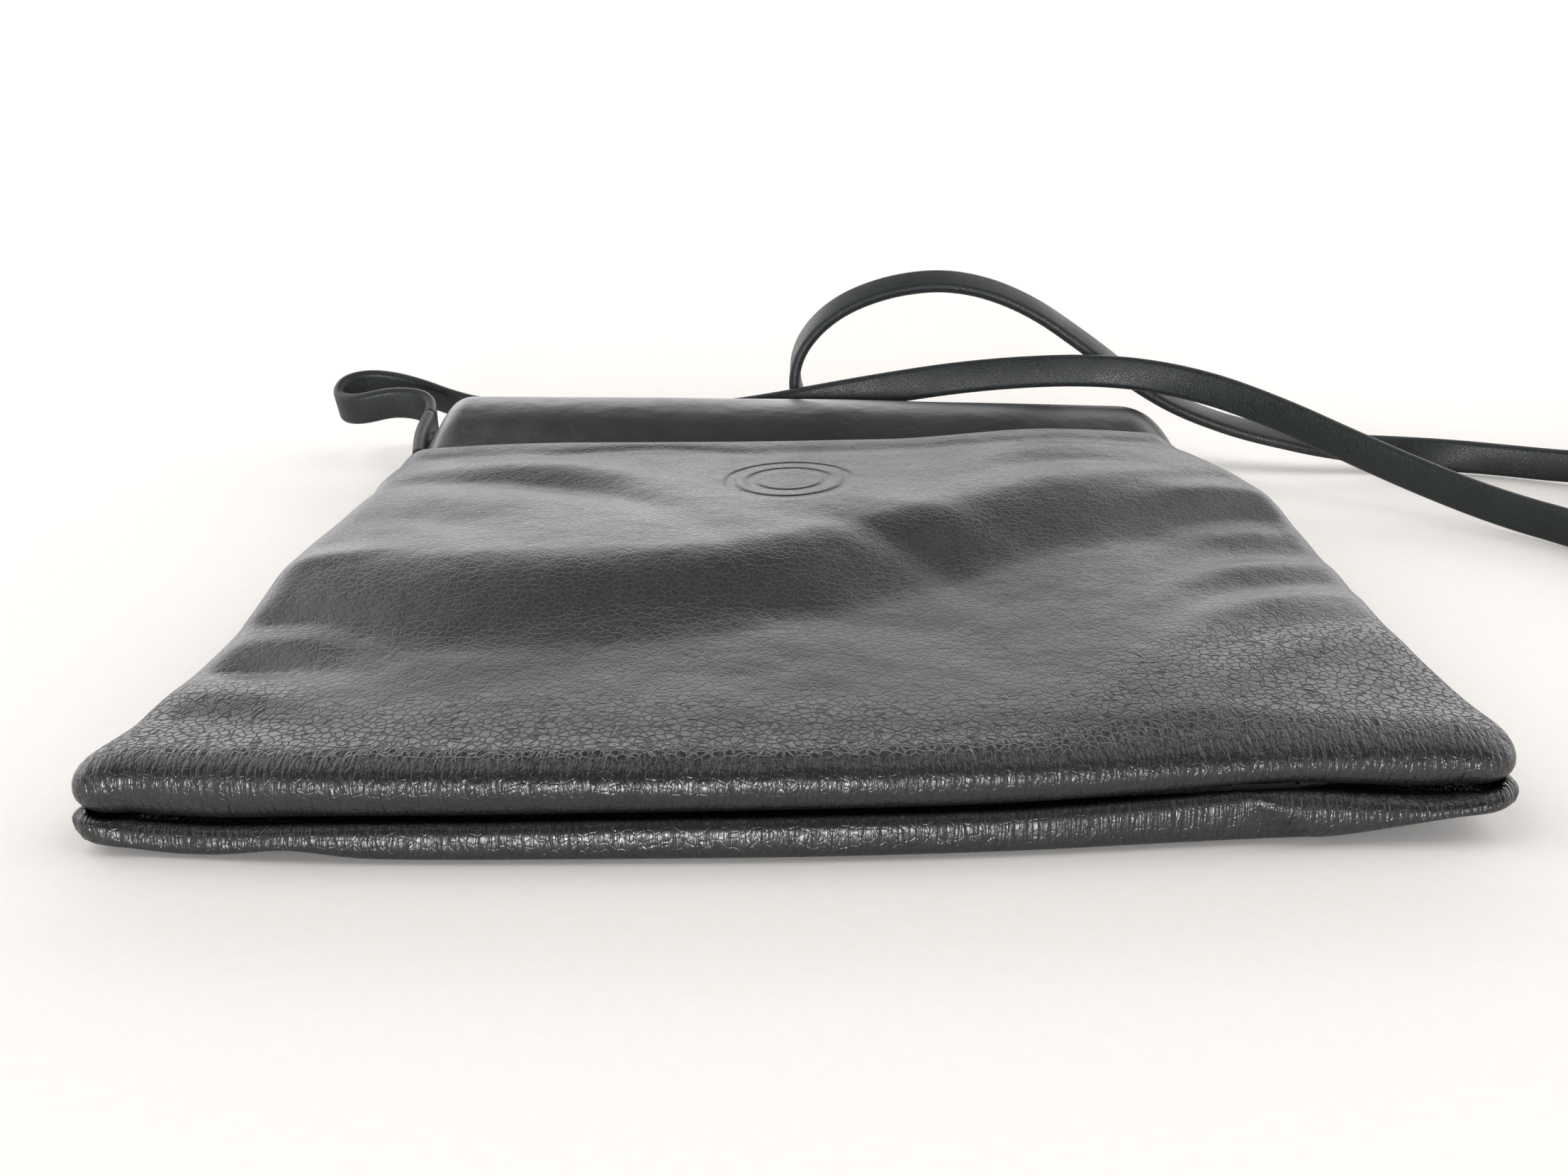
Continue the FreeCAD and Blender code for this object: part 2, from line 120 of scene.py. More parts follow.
# Soft folds and dents of the front: x, y, direction in degrees, half length, half width, height
FOLDS = [
    (-37, 15.5, -21, 20, 3.4, -0.95), (-35, 23.5, -19, 20, 4.0, 0.7),
    (-49, -2, -25, 10, 4.0, -0.5), (-47, 8, -22, 10, 4.0, 0.35),
    (-24, 34.6, 1, 17, 1.1, -0.22),
    (13, -8, -42, 13, 3.4, -0.55), (19, 0, -40, 12, 3.8, 0.4), (-4, -25, -8, 26, 5.0, -0.35),
    (42, 20.5, 8, 12, 3.0, -0.5), (42, 27.5, 8, 13, 3.0, 0.35),
    (60, 15, 12, 10, 2.4, -0.45), (60, 9.5, 14, 10, 2.2, 0.4), (62, 3.5, 15, 10, 2.2, -0.45),
    (61, -2, 16, 10, 2.2, 0.4), (60, -8, 18, 10, 2.4, -0.45), (60, -13, 20, 11, 2.2, 0.5),
    (58, -19, 22, 13, 2.4, -0.55), (58, -24, 24, 12, 2.2, 0.45), (57, -31, 28, 13, 2.6, -0.4),
    (55, -38, 30, 14, 2.6, 0.4),
    (-60, -38.5, -8, 8, 2.2, -0.8), (-59, -33.5, -8, 9, 2.2, 0.5), (-60, -28, -6, 8, 2.0, -0.45),
    (-61, -50, -16, 8, 2.2, -0.55), (-60, -45, -14, 8, 2.0, 0.4), (-60, -15, 18, 9, 2.6, 0.4),
    (-20, -40, 3, 34, 6.0, -0.2),
]

# Mouth bands: where the front band's crest lies from end to end, and its thickness
CREST_HEIGHT = [(-66, 14.4), (-40, 14.5), (0, 14.0), (40, 13.2), (66, 12.5)]
BAND_START_Z = 10.4
BAND_THICKNESS = 3.6
BAND_BELLY = 1.9
BAND_LEFT, BAND_RIGHT = -63.8, 67.0
LEFT_BAND_END, RIGHT_BAND_END = 5.0, 8.0
BAND_DROOP = 2.4
MOUTH_Y = 60.6
MOUTH_GAP = 0.35

# Strap
STRAP_WIDTH = 6.0
STRAP_THICKNESS = 2.1
STRAP_EDGE = 0.95
ON_EDGE = (0, 0, 1)
ACROSS = (0.05, 1, 0.42)
FLAT_ON_COIL = (0.4, 1, 0)

# Strap route: a point and the direction of the strap's width there
LEFT_ROUTE = [
    ((-67.6, 60.3, 9.3), ON_EDGE),
    ((-67.9, 64.2, 10.0), ON_EDGE),
    ((-70.6, 67.2, 11.4), ON_EDGE),
    ((-76.6, 67.6, 11.8), (0, -0.2, 1)),
    ((-82.8, 66.8, 10.4), (0.1, -0.2, 1)),
    ((-87.6, 69.8, 10.2), (-0.1, -0.1, 1)),
    ((-87.6, 75.0, 12.4), (-0.1, -0.2, 1)),
    ((-82.8, 77.8, 13.0), (0, -0.3, 1)),
    ((-75.0, 77.6, 11.8), (0, -0.4, 1)),
    ((-65.0, 75.4, 8.6), (0, -0.4, 1)),
    ((-49.0, 72.2, 6.4), ON_EDGE),
    ((-29.0, 70.2, 7.2), ON_EDGE),
    ((-9.8, 69.0, 9.0), ON_EDGE),
    ((13.1, 68.2, 13.6), (0, 0.15, 1)),
    ((36.0, 69.4, 16.8), (0, 0.35, 1)),
    ((59.0, 69.6, 17.7), (0, 0.3, 1)),
    ((75.2, 64.4, 16.2), (0, 0.1, 1)),
    ((88.0, 56.2, 12.8), ON_EDGE),
    ((98.4, 47.0, 9.0), ON_EDGE),
    ((108.6, 38.2, 5.6), ON_EDGE),
    ((116.8, 29.4, 3.7), ON_EDGE),
    ((124.0, 20.6, 3.3), ON_EDGE),
    ((131.0, 7.0, 3.3), ON_EDGE),
]
RIGHT_ROUTE = [
    ((64.4, 59.0, 6.4), ON_EDGE),
    ((65.6, 65.6, 6.6), ON_EDGE),
    ((60.6, 70.2, 5.8), ON_EDGE),
    ((49.0, 71.8, 4.6), ON_EDGE),
    ((33.0, 72.6, 3.9), (0, 0.5, 1)),
    ((17.0, 73.2, 3.9), (0, 1.0, 0.8)),
    ((6.0, 73.8, 5.4), (0, 1.0, 0.3)),
    ((0.2, 74.8, 11.0), ACROSS),
    ((0.6, 76.2, 20.0), ACROSS),
    ((7.6, 78.2, 27.6), ACROSS),
    ((19.2, 80.2, 31.8), ACROSS),
    ((32.0, 81.2, 32.6), ACROSS),
    ((45.2, 80.0, 28.6), ACROSS),
    ((57.9, 76.4, 20.4), ACROSS),
    ((69.0, 71.0, 12.6), (0, 1, 0.30)),
    ((80.5, 66.4, 8.2), (0, 1, 0.25)),
    ((93.5, 63.4, 5.6), (0, 1, 0.35)),
    ((105.4, 62.2, 4.2), (0, 0.8, 0.6)),
    ((118.0, 61.4, 3.5), (0, 0.45, 0.9)),
    ((130.5, 58.4, 3.3), ON_EDGE),
    ((142.0, 53.0, 3.4), ON_EDGE),
    ((154.0, 46.6, 5.0), (0.3, 0.6, 0.8)),
    ((167.0, 41.6, 8.2), FLAT_ON_COIL),
    ((179.0, 36.4, 8.2), FLAT_ON_COIL),
    ((187.6, 28.6, 5.6), (0.6, 0.4, 0.9)),
]
COIL_CENTRE = (168.0, 6.0)
COIL_RADII = (35.9, 29.6)
COIL_START, COIL_END = 211.0, 394.0
COIL_WHOLE_TURNS = 2
COIL_POINTS_PER_TURN = 16
COIL_HEIGHT = 3.65

# Stitches of the turned seam and of the strap ends
STITCH_PITCH = 3.5
THREAD_DIAMETER = 0.5
STITCH_LENGTH = 2.2
SEAM_MIDDLE_Y = -10
THREAD_INSET = (0.022, 0.03)
RIGHT_STITCH_SHIFT = (-4.6, 0.0, -1.0)

# Embossed figure on the front: two plain rings
MARK_CENTRE = (-1.0, 15.5)
MARK_RADII = (9.0, 5.8)
MARK_LINE = 1.3

# Masks on the leather: distances in from the near edge, and how open the grain is
ROLL_MASK_START, ROLL_MASK_REACH = 3.2, 5.0
GRAIN_MASK_START, GRAIN_MASK_REACH, GRAIN_ON_ROLL = 1.8, 2.6, 0.12
GRAIN_FRONT_Y, GRAIN_FADE, FINE_GRAIN = -55.5, 10, 0.14
RIGHT_GRAIN, RIGHT_GRAIN_START, RIGHT_GRAIN_REACH = 22, 20, 40
LEFT_GRAIN, LEFT_GRAIN_START, LEFT_GRAIN_REACH = 8, 45, 20


# ---------------------------------------------------------------- small helpers

def through(knots, value):
    """A smooth line through (place, height) knots."""
    places, heights = np.array(knots, float).T
    slopes = np.gradient(heights, places)
    value = np.clip(value, places[0], places[-1])
    span = np.clip(np.searchsorted(places, value) - 1, 0, len(places) - 2)
    width = places[span + 1] - places[span]
    t = (value - places[span]) / width
    rise = heights[span + 1] - heights[span]
    start = slopes[span] * width
    end = slopes[span + 1] * width
    return heights[span] + t * (start + t * (3 * rise - 2 * start - end + t * (start + end - 2 * rise)))


def eased(value):
    value = np.clip(value, 0, 1)
    return value * value * (3 - 2 * value)


def roll_out(u, box):
    """How far a rolled edge stands out, from the seam (0) over the bulge to the top of the roll (1).

    Box 1 gives a round roll and a smaller number a squarer one."""
    return np.abs(np.cos(ROLL_START + u * (math.pi / 2 - ROLL_START))) ** box


def roll_up(u, box):
    """How high a rolled edge has come, 0 at the seam and 1 at the top of the roll."""
    turned = np.sin(ROLL_START + u * (math.pi / 2 - ROLL_START))
    risen = np.sign(turned) * np.abs(turned) ** box
    return (risen - risen.flat[0]) / (1 - risen.flat[0])


def link_object(name, mesh):
    piece = bpy.data.objects.new(name, mesh)
    bpy.context.scene.collection.objects.link(piece)
    return piece


def mesh_piece(name, points, faces, uvs=None, smooth=True):
    """A mesh object from points in millimetres, with a UV per point."""
    mesh = bpy.data.meshes.new(name)
    mesh.from_pydata((np.asarray(points) * MM).tolist(), [], faces)
    mesh.validate()
    if uvs is not None:
        layer = mesh.uv_layers.new(name="UVMap")
        corners = np.empty(len(mesh.loops), np.int32)
        mesh.loops.foreach_get("vertex_index", corners)
        layer.data.foreach_set("uv", np.asarray(uvs, np.float32)[corners].ravel())
    mesh.polygons.foreach_set("use_smooth", [smooth] * len(mesh.polygons))
    return link_object(name, mesh)


def point_attribute(piece, name, values):
    attribute = piece.data.attributes.new(name, "FLOAT", "POINT")
    attribute.data.foreach_set("value", np.asarray(values, np.float32).ravel())


def grid_faces(rows, columns, offset=0, flip=False):
    faces = []
    for i in range(rows - 1):
        for j in range(columns - 1):
            a = offset + i * columns + j
            quad = (a, a + columns, a + columns + 1, a + 1)
            faces.append(quad[::-1] if flip else quad)
    return faces


def rim_faces(rows, columns, flip=False):
    """Walls that join the edges of an outer grid to those of the inner grid after it."""
    outline = [i * columns for i in range(rows)]
    outline += [(rows - 1) * columns + j for j in range(1, columns)]
    outline += [i * columns + columns - 1 for i in range(rows - 2, -1, -1)]
    outline += [j for j in range(columns - 2, 0, -1)]
    inner = rows * columns
    faces = []
    for a, b in zip(outline, outline[1:] + outline[:1]):
        quad = (a, a + inner, b + inner, b)
        faces.append(quad[::-1] if flip else quad)
    return faces


def grid_normals(grid):
    along = np.gradient(grid, axis=0)
    across = np.gradient(grid, axis=1)
    normal = np.cross(along, across)
    return normal / np.maximum(np.linalg.norm(normal, axis=2, keepdims=True), 1e-9)


def shell_piece(name, grid, depths, uvs, flip=False):
    """A closed layer between two depths below a surface grid."""
    rows, columns = grid.shape[:2]
    normal = grid_normals(grid) * (-1 if flip else 1)
    outer = (grid - normal * depths[0]).reshape(-1, 3)
    inner = (grid - normal * depths[1]).reshape(-1, 3)
    faces = grid_faces(rows, columns, flip=flip)
    faces += grid_faces(rows, columns, offset=rows * columns, flip=not flip)
    faces += rim_faces(rows, columns, flip=flip)
    both = np.concatenate([uvs.reshape(-1, 2)] * 2)
    return mesh_piece(name, np.concatenate([outer, inner]), faces, both)


def hex_colour(text):
    """An sRGB hex colour as linear RGBA."""
    channels = [int(text[i:i + 2], 16) / 255 for i in (1, 3, 5)]
    linear = [c / 12.92 if c <= 0.04045 else ((c + 0.055) / 1.055) ** 2.4 for c in channels]
    return (*linear, 1.0)


def add_node(tree, kind, settings=None, **links):
    """A node with its settings; links give input name = value, or another node's output."""
    node = tree.nodes.new(kind)
    for key, value in (settings or {}).items():
        setattr(node, key, value)
    for key, value in links.items():
        numbered = key[0] == "i" and key[1:].isdigit()
        socket = node.inputs[int(key[1:]) if numbered else key.replace("_", " ")]
        if isinstance(value, bpy.types.NodeSocket):
            tree.links.new(value, socket)
        else:
            socket.default_value = value
    return node


def new_material(name):
    material = bpy.data.materials.new(name)
    material.use_nodes = True
    tree = material.node_tree
    tree.nodes.clear()
    return material, tree


def dress(piece, material, body=None):
    piece.data.materials.clear()
    piece.data.materials.append(material)
    if body:
        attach(piece, body)
    return piece


# ---------------------------------------------------------------- materials

GRAIN = 0.95 * MM
GRAIN_DEPTH = 0.16 * MM
PORE = 0.28 * MM
CREASE_DEPTH = 0.26 * MM
WAVE = 9 * MM
WAVE_DEPTH = 0.4 * MM
MARK_DEPTH = 0.6 * MM


def leather_grain(tree, where, grain_size, depth, normal=None, share=1.0):
    """Bump of small irregular cells with fine creases between them, and pores on top."""
    warp = add_node(tree, "ShaderNodeTexNoise", Vector=where, Scale=0.5 / grain_size, Detail=2.0)
    shifted = add_node(tree, "ShaderNodeVectorMath", {"operation": "MULTIPLY_ADD"},
                       i0=warp.outputs["Color"], i1=(grain_size * 0.5,) * 3, i2=where)
    cells = add_node(tree, "ShaderNodeTexVoronoi", {"feature": "DISTANCE_TO_EDGE"},
                     Vector=shifted.outputs[0], Scale=1 / grain_size, Randomness=1.0)
    rounded = add_node(tree, "ShaderNodeMapRange", {"interpolation_type": "SMOOTHSTEP"},
                       Value=cells.outputs["Distance"], From_Min=0.0, From_Max=0.13)
    pores = add_node(tree, "ShaderNodeTexNoise", Vector=where, Scale=1 / PORE, Detail=3.0)
    mixed = add_node(tree, "ShaderNodeMath", {"operation": "MULTIPLY_ADD"},
                     i0=pores.outputs["Fac"], i1=0.3, i2=rounded.outputs["Result"])
    shown = add_node(tree, "ShaderNodeMath", {"operation": "MULTIPLY"}, i0=mixed.outputs[0], i1=share)
    bump = add_node(tree, "ShaderNodeBump", Height=shown.outputs[0], Strength=1.0, Distance=depth)
    if normal is not None:
        tree.links.new(normal, bump.inputs["Normal"])
    return bump, rounded


def mark_height(tree, where):
    """1 off the embossed lines and 0 on them: two plain rings, in the front panel's plane."""
    centre = (MARK_CENTRE[0] * MM, MARK_CENTRE[1] * MM, 0)
    moved = add_node(tree, "ShaderNodeVectorMath", {"operation": "SUBTRACT"}, i0=where, i1=centre)
    flat = add_node(tree, "ShaderNodeVectorMath", {"operation": "MULTIPLY"},
                    i0=moved.outputs[0], i1=(1, 1, 0))
    radius = add_node(tree, "ShaderNodeVectorMath", {"operation": "LENGTH"}, i0=flat.outputs[0])
    lines = []
    for size in MARK_RADII:
        off = add_node(tree, "ShaderNodeMath", {"operation": "SUBTRACT"},
                       i0=radius.outputs["Value"], i1=size * MM)
        gap = add_node(tree, "ShaderNodeMath", {"operation": "ABSOLUTE"}, i0=off.outputs[0])
        line = add_node(tree, "ShaderNodeMapRange", {"interpolation_type": "SMOOTHSTEP"},
                        Value=gap.outputs[0], From_Min=MARK_LINE * 0.25 * MM, From_Max=MARK_LINE * MM)
        lines.append(line.outputs["Result"])
    return add_node(tree, "ShaderNodeMath", {"operation": "MULTIPLY"}, i0=lines[0], i1=lines[1])


def nappa_leather(name, with_mark=False):
    """Drum-dyed black nappa, lightly finished: soft grey sheen at a low angle, fine pebbled grain,
    and short creases across the rolls beside the seams."""
    material, tree = new_material(name)
    where = add_node(tree, "ShaderNodeTexCoord").outputs["Object"]
    uv = add_node(tree, "ShaderNodeUVMap", {"uv_map": "UVMap"}).outputs["UV"]
    roll = add_node(tree, "ShaderNodeAttribute", {"attribute_name": "roll"}).outputs["Fac"]
    grain = add_node(tree, "ShaderNodeAttribute", {"attribute_name": "grain"}).outputs["Fac"]

    creases_at = add_node(tree, "ShaderNodeMapping", {"vector_type": "POINT"},
                          Vector=uv, Scale=(1.0, 0.28, 1.0))
    creases = add_node(tree, "ShaderNodeTexNoise", Vector=creases_at.outputs[0], Scale=1 / 0.5, Detail=2.0,
                       Roughness=0.5, Distortion=0.5)
    crease_lift = add_node(tree, "ShaderNodeMath", {"operation": "MULTIPLY"},
                           i0=creases.outputs["Fac"], i1=roll)
    crease_bump = add_node(tree, "ShaderNodeBump", Height=crease_lift.outputs[0], Strength=1.0,
                           Distance=CREASE_DEPTH)
    last = crease_bump.outputs["Normal"]
    if with_mark:
        mark = mark_height(tree, where)
        mark_bump = add_node(tree, "ShaderNodeBump", Height=mark.outputs[0], Strength=1.0,
                             Distance=MARK_DEPTH, Normal=last)
        last = mark_bump.outputs["Normal"]
    waves = add_node(tree, "ShaderNodeTexNoise", Vector=where, Scale=1 / WAVE, Detail=3.0)
    wave_bump = add_node(tree, "ShaderNodeBump", Height=waves.outputs["Fac"], Strength=1.0,
                         Distance=WAVE_DEPTH, Normal=last)
    bump, cells = leather_grain(tree, where, GRAIN, GRAIN_DEPTH, wave_bump.outputs["Normal"], grain)

    patches = add_node(tree, "ShaderNodeTexNoise", Vector=where, Scale=1 / (22 * MM), Detail=4.0)
    tone = add_node(tree, "ShaderNodeMix", {"data_type": "RGBA"}, Factor=patches.outputs["Fac"],
                    i6=hex_colour("#161617"), i7=hex_colour("#1f1f20"))
    # Painted shade: the base colour darkens to 55% in the creases between the grain cells, where shade would
    # fall
    painted_crease_shade = add_node(tree, "ShaderNodeMapRange", Value=cells.outputs["Result"], From_Min=0.0, From_Max=1.0,
                    To_Min=0.55, To_Max=1.0)
    shade = add_node(tree, "ShaderNodeVectorMath", {"operation": "SCALE"}, i0=tone.outputs["Result"],
                     Scale=painted_crease_shade.outputs["Result"])
    gloss = add_node(tree, "ShaderNodeMapRange", Value=patches.outputs["Fac"], From_Min=0.3, From_Max=0.7,
                     To_Min=0.33, To_Max=0.41)
    polish = add_node(tree, "ShaderNodeMath", {"operation": "MULTIPLY_ADD"}, i0=roll, i1=-0.10,
                      i2=gloss.outputs["Result"])
    crease_matt = add_node(tree, "ShaderNodeMapRange", Value=cells.outputs["Result"],
                           From_Min=0.0, From_Max=1.0, To_Min=0.3, To_Max=0.0)
    matt = add_node(tree, "ShaderNodeMath", {"operation": "MULTIPLY_ADD", "use_clamp": True},
                    i0=crease_matt.outputs["Result"], i1=grain, i2=polish.outputs[0])
    skin = add_node(tree, "ShaderNodeBsdfPrincipled", Base_Color=shade.outputs[0],
                    Roughness=matt.outputs[0], IOR=1.5, Normal=bump.outputs["Normal"])
    add_node(tree, "ShaderNodeOutputMaterial", Surface=skin.outputs[0])
    return material


def strap_leather():
    """Pigmented strap leather, rolled smooth: a cooler black with a soft polish and very fine grain."""
    material, tree = new_material("pigmented_strap_leather")
    where = add_node(tree, "ShaderNodeTexCoord").outputs["Object"]
    bump, _ = leather_grain(tree, where, 0.45 * MM, 0.02 * MM)
    wear = add_node(tree, "ShaderNodeTexNoise", Vector=where, Scale=1 / (6 * MM), Detail=4.0)
    tone = add_node(tree, "ShaderNodeMix", {"data_type": "RGBA"}, Factor=wear.outputs["Fac"],
                    i6=hex_colour("#101415"), i7=hex_colour("#171c1d"))
    gloss = add_node(tree, "ShaderNodeMapRange", Value=wear.outputs["Fac"], From_Min=0.3, From_Max=0.7,
                     To_Min=0.38, To_Max=0.48)
    skin = add_node(tree, "ShaderNodeBsdfPrincipled", Base_Color=tone.outputs["Result"],
                    Roughness=gloss.outputs["Result"], IOR=1.5, Specular_IOR_Level=0.32,
                    Normal=bump.outputs["Normal"])
    add_node(tree, "ShaderNodeOutputMaterial", Surface=skin.outputs[0])
    return material


def woven_cloth(name, low, high, thread_mm, roughness):
    """Plain weave: two crossed sets of threads, each a fine wave."""
    material, tree = new_material(name)
    where = add_node(tree, "ShaderNodeTexCoord").outputs["Object"]
    heights = []
    for direction in ("X", "Y"):
        wave = add_node(tree, "ShaderNodeTexWave", {"bands_direction": direction}, Vector=where,
                        Scale=math.pi / (10 * thread_mm * MM), Distortion=0.4, Detail=1.0)
        heights.append(wave.outputs["Fac"])
    weave = add_node(tree, "ShaderNodeMath", {"operation": "MULTIPLY"}, i0=heights[0], i1=heights[1])
    bump = add_node(tree, "ShaderNodeBump", Height=weave.outputs[0], Strength=0.8, Distance=0.12 * MM)
    tone = add_node(tree, "ShaderNodeMix", {"data_type": "RGBA"}, Factor=weave.outputs[0],
                    i6=hex_colour(low), i7=hex_colour(high))
    cloth = add_node(tree, "ShaderNodeBsdfPrincipled", Base_Color=tone.outputs["Result"],
                     Roughness=roughness, Sheen_Weight=0.3, Normal=bump.outputs["Normal"])
    add_node(tree, "ShaderNodeOutputMaterial", Surface=cloth.outputs[0])
    return material


def polyester_wadding():
    """Needled polyester wadding: white fibres in loose tufts."""
    material, tree = new_material("polyester_wadding")
    where = add_node(tree, "ShaderNodeTexCoord").outputs["Object"]
    tufts = add_node(tree, "ShaderNodeTexNoise", Vector=where, Scale=1 / (1.2 * MM), Detail=6.0,
                     Roughness=0.7)
    tone = add_node(tree, "ShaderNodeMix", {"data_type": "RGBA"}, Factor=tufts.outputs["Fac"],
                    i6=hex_colour("#c9c8c2"), i7=hex_colour("#efeee9"))
    bump = add_node(tree, "ShaderNodeBump", Height=tufts.outputs["Fac"], Strength=1.0, Distance=0.4 * MM)
    fibre = add_node(tree, "ShaderNodeBsdfPrincipled", Base_Color=tone.outputs["Result"], Roughness=0.95,
                     Sheen_Weight=0.4, Normal=bump.outputs["Normal"])
    add_node(tree, "ShaderNodeOutputMaterial", Surface=fibre.outputs[0])
    return material


def spring_steel():
    """Blue-tempered strip steel, rolled: long fine lines along the strip, dull shine."""
    material, tree = new_material("tempered_spring_steel")
    where = add_node(tree, "ShaderNodeTexCoord").outputs["Object"]
    stretched = add_node(tree, "ShaderNodeMapping", Vector=where, Scale=(20.0, 900.0, 900.0))
    lines = add_node(tree, "ShaderNodeTexNoise", Vector=stretched.outputs[0], Scale=3.0, Detail=3.0)
    tone = add_node(tree, "ShaderNodeMix", {"data_type": "RGBA"}, Factor=lines.outputs["Fac"],
                    i6=hex_colour("#7d8188"), i7=hex_colour("#a9acb0"))
    gloss = add_node(tree, "ShaderNodeMapRange", Value=lines.outputs["Fac"], To_Min=0.25, To_Max=0.45)
    metal = add_node(tree, "ShaderNodeBsdfPrincipled", Base_Color=tone.outputs["Result"], Metallic=1.0,
                     Roughness=gloss.outputs["Result"])
    add_node(tree, "ShaderNodeOutputMaterial", Surface=metal.outputs[0])
    return material


def bonded_thread():
    """Bonded polyester thread: black, twisted, with a waxy gleam."""
    material, tree = new_material("bonded_thread")
    where = add_node(tree, "ShaderNodeTexCoord").outputs["Object"]
    twist = add_node(tree, "ShaderNodeTexWave", {"bands_direction": "DIAGONAL"}, Vector=where,
                     Scale=math.pi / (10 * 0.4 * MM), Distortion=0.5)
    tone = add_node(tree, "ShaderNodeMix", {"data_type": "RGBA"}, Factor=twist.outputs["Fac"],
                    i6=hex_colour("#0e0e0f"), i7=hex_colour("#242425"))
    bump = add_node(tree, "ShaderNodeBump", Height=twist.outputs["Fac"], Strength=0.6, Distance=0.05 * MM)
    thread = add_node(tree, "ShaderNodeBsdfPrincipled", Base_Color=tone.outputs["Result"], Roughness=0.5,
                      Normal=bump.outputs["Normal"])
    add_node(tree, "ShaderNodeOutputMaterial", Surface=thread.outputs[0])
    return material


def table_surface():
    """Matt white painted board, very slightly warm."""
    material, tree = new_material("white_board")
    where = add_node(tree, "ShaderNodeTexCoord").outputs["Object"]
    fibres = add_node(tree, "ShaderNodeTexNoise", Vector=where, Scale=1 / (1.5 * MM), Detail=5.0)
    tone = add_node(tree, "ShaderNodeMix", {"data_type": "RGBA"}, Factor=fibres.outputs["Fac"],
                    i6=hex_colour("#ebe8e4"), i7=hex_colour("#f1eeeb"))
    board = add_node(tree, "ShaderNodeBsdfPrincipled", Base_Color=tone.outputs["Result"], Roughness=0.85)
    add_node(tree, "ShaderNodeOutputMaterial", Surface=board.outputs[0])
    return material


NAPPA_FRONT = nappa_leather("black_nappa_front", with_mark=True)
NAPPA = nappa_leather("black_nappa")
STRAP_LEATHER = strap_leather()
LINING_CLOTH = woven_cloth("viscose_lining", "#1c1c20", "#34343a", 0.35, 0.55)
ELASTIC = woven_cloth("woven_elastic", "#101011", "#2c2c2e", 0.6, 0.8)
WADDING = polyester_wadding()
STEEL = spring_steel()
THREAD = bonded_thread()


# ---------------------------------------------------------------- camera, light and table

def set_camera():
    data = bpy.data.cameras.new("camera")
    data.lens = CAMERA_LENS
    data.sensor_width = CAMERA_SENSOR
    camera = bpy.data.objects.new("camera", data)
    bpy.context.scene.collection.objects.link(camera)
    camera.location = Vector(CAMERA_PLACE) * MM
    camera.rotation_euler = (math.radians(90 - CAMERA_DROP), 0, 0)
    data.clip_start = 0.005
    data.clip_end = 20
    bpy.context.scene.camera = camera


def soft_light(name, side, height, spread, strength, colour="#ffffff"):
    """A broad window far off; side is where it stands in degrees, 0 behind the table and 90 to its right."""
    data = bpy.data.lights.new(name, "SUN")
    data.angle = math.radians(spread)
    data.energy = strength
    data.color = hex_colour(colour)[:3]
    lamp = bpy.data.objects.new(name, data)
    bpy.context.scene.collection.objects.link(lamp)
    bearing, climb = math.radians(side), math.radians(height)
    level = math.cos(climb)
    towards = Vector((math.sin(bearing) * level, math.cos(bearing) * level, math.sin(climb)))
    lamp.location = towards * 2
    lamp.rotation_euler = towards.to_track_quat("Z", "Y").to_euler()


def set_room():
    """A pale room: bright low down behind the table, dim above."""
    world = bpy.data.worlds.new("pale_room")
    bpy.context.scene.world = world
    world.use_nodes = True
    tree = world.node_tree
    tree.nodes.clear()
    towards = add_node(tree, "ShaderNodeTexCoord").outputs["Generated"]
    parts = add_node(tree, "ShaderNodeSeparateXYZ", Vector=towards)
    low = add_node(tree, "ShaderNodeMapRange", {"interpolation_type": "SMOOTHSTEP"}, Value=parts.outputs["Z"],
                   From_Min=0.39, From_Max=0.57, To_Min=1.0, To_Max=0.0)
    behind = add_node(tree, "ShaderNodeMapRange", {"interpolation_type": "SMOOTHSTEP"},
                      Value=parts.outputs["Y"], From_Min=-0.5, From_Max=0.4, To_Min=0.3, To_Max=1.0)
    both = add_node(tree, "ShaderNodeMath", {"operation": "MULTIPLY"}, i0=low.outputs["Result"],
                    i1=behind.outputs["Result"])
    strength = add_node(tree, "ShaderNodeMapRange", Value=both.outputs[0], To_Min=ROOM_ABOVE,
                        To_Max=ROOM_BEHIND)
    sky = add_node(tree, "ShaderNodeBackground", Color=hex_colour("#fdfdff"),
                   Strength=strength.outputs["Result"])
    add_node(tree, "ShaderNodeOutputWorld", Surface=sky.outputs[0])


def set_table():
    reach = 3000
    corners = [(-reach, -reach, 0), (reach, -reach, 0), (reach, reach, 0), (-reach, reach, 0)]
    table = mesh_piece("table", corners, [(0, 1, 2, 3)], smooth=False)
    table.data.materials.append(table_surface())


set_camera()
set_room()
set_table()
soft_light("left_window", -75, 55, 50, 1.1, "#fffdf9")
soft_light("right_window", 75, 58, 50, 0.95, "#fffaf5")
soft_light("front_window", 184, 7, 16, 3.0)
bpy.context.scene.view_settings.view_transform = "Standard"


# ---------------------------------------------------------------- neck strap

def coil_route():
    """The put-away turns, from the outside of the coil inwards, on edge side by side."""
    sweep = COIL_END - COIL_START + 360 * COIL_WHOLE_TURNS
    steps = round(sweep / 360 * COIL_POINTS_PER_TURN)
    route = []
    for step in range(steps + 1):
        share = step / steps
        angle = math.radians(COIL_START + share * sweep)
        radius = COIL_RADII[0] + share * (COIL_RADII[1] - COIL_RADII[0])
        x = COIL_CENTRE[0] + radius * math.cos(angle)
        y = COIL_CENTRE[1] + radius * math.sin(angle)
        route.append(((x, y, COIL_HEIGHT), ON_EDGE))
    return route


